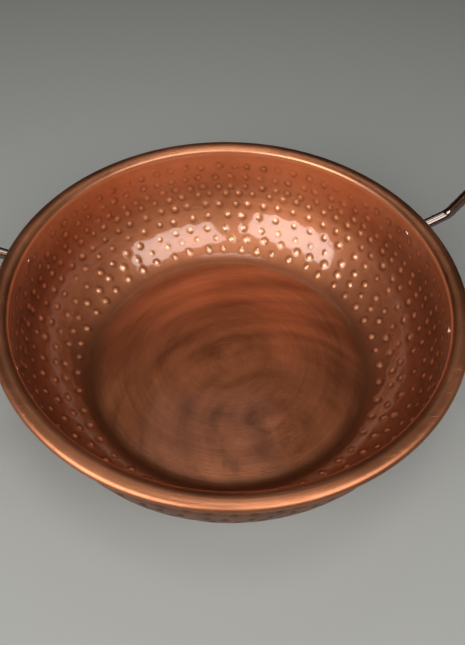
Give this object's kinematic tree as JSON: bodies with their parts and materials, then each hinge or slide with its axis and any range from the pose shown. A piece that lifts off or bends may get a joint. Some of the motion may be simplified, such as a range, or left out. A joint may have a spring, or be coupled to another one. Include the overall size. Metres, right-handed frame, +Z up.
{
  "type": "two-handled hammered bowl",
  "caption": "Wide shallow hammered copper bowl with a flared, rolled lip, a smooth flat floor and a bent rod handle riveted to each side.",
  "frame": {"origin": "centre of the flat base underside", "axes": "+Z up out of the bowl, +X towards the right handle, -Y towards the front"},
  "size_m": [0.5, 0.3999, 0.173],
  "materials": {
    "copper": "antiqued copper, hammered wall, brushed floor, waxed satin",
    "wire_steel": "plain drawn wire, hidden in the lip",
    "dark_bronze": "dark bronzed brass, polished"
  },
  "bodies": {
    "root": {"bowl_shell": "copper", "rim_wire": "wire_steel", "left_handle": "dark_bronze", "left_handle_front_foot": "dark_bronze", "left_handle_back_foot": "dark_bronze", "right_handle": "dark_bronze", "right_handle_front_foot": "dark_bronze", "right_handle_back_foot": "dark_bronze"}
  },
  "joints": []
}
